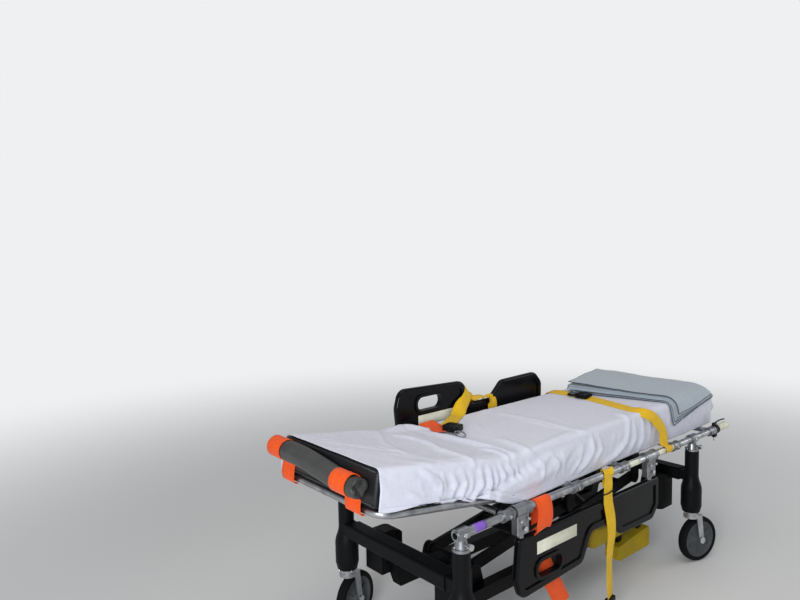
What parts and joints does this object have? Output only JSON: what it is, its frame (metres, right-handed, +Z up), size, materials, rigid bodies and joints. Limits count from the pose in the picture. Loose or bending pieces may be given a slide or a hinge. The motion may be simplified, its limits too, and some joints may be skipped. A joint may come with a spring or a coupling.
{
  "type": "ambulance stretcher",
  "caption": "Wheeled ambulance stretcher with lift chassis, tilting backrest, folding side arms, sheeted mattress, blanket and straps.",
  "frame": {"origin": "on the floor under the middle of the stretcher's overall box", "axes": "+X towards the foot end, +Y towards the raised side arm, +Z up"},
  "size_m": [2.114, 0.7118, 0.8674],
  "materials": {
    "chassis_black": "black powder coat",
    "pedal_yellow": "yellow moulded",
    "black_moulding": "satin moulded",
    "fork_grey": "light grey, scuffed",
    "hub_grey": "grey moulded",
    "tyre_black": "matt rubber",
    "bright_steel": "bright",
    "satin_aluminium": "satin, scuffed",
    "cast_alloy": "as-cast, lightly worn",
    "grip_cream": "cream moulded",
    "deck_black": "black sheet",
    "sheet_white": "cotton sheet",
    "blanket_blue": "folded cotton blanket",
    "webbing_yellow": "woven yellow webbing",
    "webbing_orange": "woven orange webbing",
    "buckle_black": "black moulded",
    "vinyl_charcoal": "charcoal vinyl",
    "panel_black": "blow-moulded, semi-gloss"
  },
  "bodies": {
    "root": {"chassis": "chassis_black", "lift_pedal": "pedal_yellow", "release_pedal": "pedal_yellow", "cross_beam_foot": "black_moulding", "cross_beam_head": "black_moulding", "leg_foot_near": "black_moulding", "leg_foot_far": "black_moulding", "leg_head_near": "black_moulding", "leg_head_far": "black_moulding"},
    "castor_foot_near": {"castor_fork_foot_near": "fork_grey"},
    "wheel_foot_near": {"castor_hub_foot_near": "hub_grey", "castor_tyre_foot_near": "tyre_black"},
    "castor_foot_far": {"castor_fork_foot_far": "fork_grey"},
    "wheel_foot_far": {"castor_hub_foot_far": "hub_grey", "castor_tyre_foot_far": "tyre_black"},
    "castor_head_near": {"castor_fork_head_near": "fork_grey"},
    "wheel_head_near": {"castor_hub_head_near": "hub_grey", "castor_tyre_head_near": "tyre_black"},
    "castor_head_far": {"castor_fork_head_far": "fork_grey"},
    "wheel_head_far": {"castor_hub_head_far": "hub_grey", "castor_tyre_head_far": "tyre_black"},
    "arms_foot": {"lift_arms_foot": "chassis_black"},
    "arms_head": {"lift_arms_head": "chassis_black"},
    "barrel": {"lift_barrel": "chassis_black"},
    "rod": {"lift_rod": "bright_steel"},
    "top": {"rail_near": "satin_aluminium", "rail_far": "satin_aluminium", "cross_tubes": "satin_aluminium", "rail_sleeves": "cast_alloy", "sleeve_bolts": "bright_steel", "top_frame": "cast_alloy", "leg_brackets": "cast_alloy", "bracket_knobs": "bright_steel", "hand_grips": "grip_cream", "grip_clamps": "black_moulding", "deck": "deck_black", "mattress_main": "sheet_white", "mattress_fold": "sheet_white", "blanket": "blanket_blue", "strap_near_yellow": "webbing_yellow", "strap_near_orange": "webbing_orange", "strap_foot": "webbing_yellow", "strap_foot_buckle": "buckle_black"},
    "backrest": {"backrest_frame": "satin_aluminium", "backrest_deck": "deck_black", "mattress_head": "sheet_white", "carry_sheet_roll": "vinyl_charcoal", "roll_bands": "webbing_orange"},
    "arm_near": {"side_arm_panel_near": "panel_black", "side_arm_hinges_near": "cast_alloy"},
    "arm_far": {"side_arm_panel_far": "panel_black", "side_arm_hinges_far": "cast_alloy", "strap_far": "webbing_yellow"}
  },
  "joints": [
    {"name": "swivel_foot_near", "type": "hinge", "parent": "root", "child": "castor_foot_near", "pos_m": [0.7325, -0.301, 0.235], "axis": [0, 0, 1], "continuous": true},
    {"name": "roll_foot_near", "type": "hinge", "parent": "castor_foot_near", "child": "wheel_foot_near", "pos_m": [0.77191, -0.3123, 0.1], "axis": [0.2756, 0.9613, 0], "continuous": true},
    {"name": "swivel_foot_far", "type": "hinge", "parent": "root", "child": "castor_foot_far", "pos_m": [0.7325, 0.301, 0.235], "axis": [0, 0, 1], "continuous": true},
    {"name": "roll_foot_far", "type": "hinge", "parent": "castor_foot_far", "child": "wheel_foot_far", "pos_m": [0.77334, 0.30457, 0.1], "axis": [-0.0872, 0.9962, 0], "continuous": true},
    {"name": "swivel_head_near", "type": "hinge", "parent": "root", "child": "castor_head_near", "pos_m": [-0.7075, -0.301, 0.235], "axis": [0, 0, 1], "continuous": true},
    {"name": "roll_head_near", "type": "hinge", "parent": "castor_head_near", "child": "wheel_head_near", "pos_m": [-0.667, -0.30741, 0.1], "axis": [0.1564, 0.9877, 0], "continuous": true},
    {"name": "swivel_head_far", "type": "hinge", "parent": "root", "child": "castor_head_far", "pos_m": [-0.7075, 0.301, 0.235], "axis": [0, 0, 1], "continuous": true},
    {"name": "roll_head_far", "type": "hinge", "parent": "castor_head_far", "child": "wheel_head_far", "pos_m": [-0.66809, 0.3123, 0.1], "axis": [-0.2756, 0.9613, 0], "continuous": true},
    {"name": "lift", "type": "hinge", "parent": "root", "child": "arms_foot", "pos_m": [0.02, 0, 0.3], "axis": [0, -1, 0], "range_deg": [0, 42]},
    {"name": "lift_second_arms", "type": "hinge", "parent": "root", "child": "arms_head", "pos_m": [-0.46, 0, 0.3], "axis": [0, -1, 0], "range_deg": [0, 42]},
    {"name": "lift_top_level", "type": "hinge", "parent": "arms_foot", "child": "top", "pos_m": [0.57455, 0, 0.37794], "axis": [0, -1, 0], "range_deg": [-42, 0]},
    {"name": "lift_barrel_tilt", "type": "hinge", "parent": "root", "child": "barrel", "pos_m": [0.38, 0, 0.25], "axis": [0, -1, 0], "range_deg": [0, 3.34]},
    {"name": "lift_rod_slide", "type": "slide", "parent": "barrel", "child": "rod", "axis": [-0.7599, 0, 0.65], "range_m": [0, 0.14205]},
    {"name": "backrest_tilt", "type": "hinge", "parent": "top", "child": "backrest", "pos_m": [-0.4375, 0, 0.59], "axis": [0, 1, 0], "range_deg": [-9, 66], "deforming": ["mattress_fold"]},
    {"name": "side_arm_near_fold", "type": "hinge", "parent": "top", "child": "arm_near", "pos_m": [0, -0.301, 0.56], "axis": [-1, 0, 0], "range_deg": [0, 180], "deforming": ["strap_near_yellow"]},
    {"name": "side_arm_far_fold", "type": "hinge", "parent": "top", "child": "arm_far", "pos_m": [0, 0.301, 0.56], "axis": [-1, 0, 0], "range_deg": [0, 180]}
  ],
  "couplings": [
    {"joint": "lift_second_arms", "follows": "lift", "ratio": 1},
    {"joint": "lift_top_level", "follows": "lift", "ratio": -1},
    {"joint": "lift_barrel_tilt", "follows": "lift", "ratio": 0.079435},
    {"joint": "lift_rod_slide", "follows": "lift", "m_per_rad": 0.19379}
  ]
}
